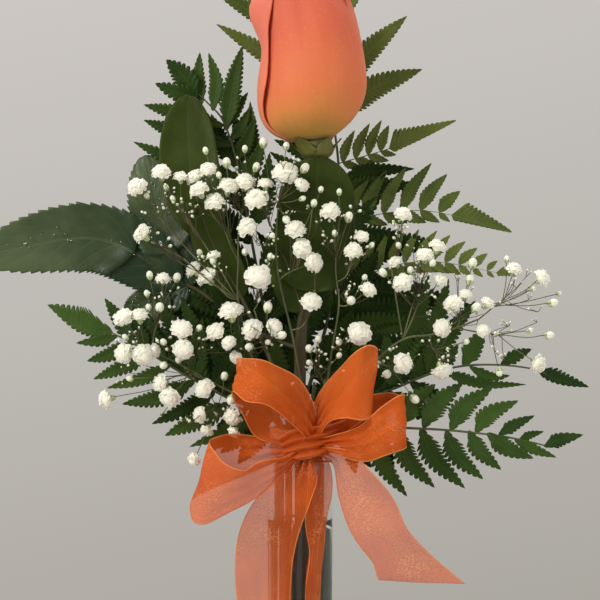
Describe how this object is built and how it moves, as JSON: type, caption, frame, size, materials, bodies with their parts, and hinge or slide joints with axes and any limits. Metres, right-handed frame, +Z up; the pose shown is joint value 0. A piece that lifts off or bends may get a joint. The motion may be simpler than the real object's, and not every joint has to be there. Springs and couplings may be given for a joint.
{
  "type": "rose in a bud vase",
  "caption": "Single orange rose with leatherleaf fern, broad lemon leaves and baby's breath in a clear bud vase of water, a sheer ribbon bow tied at the rim.",
  "frame": {"origin": "middle of the vase's flat foot, on the surface it stands on", "axes": "+Z up the vase, -Y towards the viewer of the arrangement's face, +X to that viewer's right"},
  "size_m": [0.2741, 0.088, 0.4211],
  "materials": {
    "clear_glass": "gloss",
    "water": "gloss",
    "orange_organza": "satin",
    "coral_petal": "satin",
    "rose_green": "satin",
    "broad_leaf_green": "satin",
    "fern_green": "satin",
    "babys_breath_white": "matte"
  },
  "bodies": {
    "root": {"bud_vase": "clear_glass", "water": "water", "bow_band": "orange_organza", "bow": "orange_organza", "rose_bloom": "coral_petal", "rose_stem": "rose_green", "lemon_leaf_left": "broad_leaf_green", "lemon_leaf_centre": "broad_leaf_green", "fern_back": "fern_green", "fern_upper_left": "fern_green", "fern_right": "fern_green", "fern_lower_right": "fern_green", "fern_lower_left": "fern_green", "babys_breath_left": "babys_breath_white", "babys_breath_lower_left": "babys_breath_white", "babys_breath_centre_left": "babys_breath_white", "babys_breath_centre": "babys_breath_white", "babys_breath_right_centre": "babys_breath_white", "babys_breath_right": "babys_breath_white"}
  },
  "joints": []
}
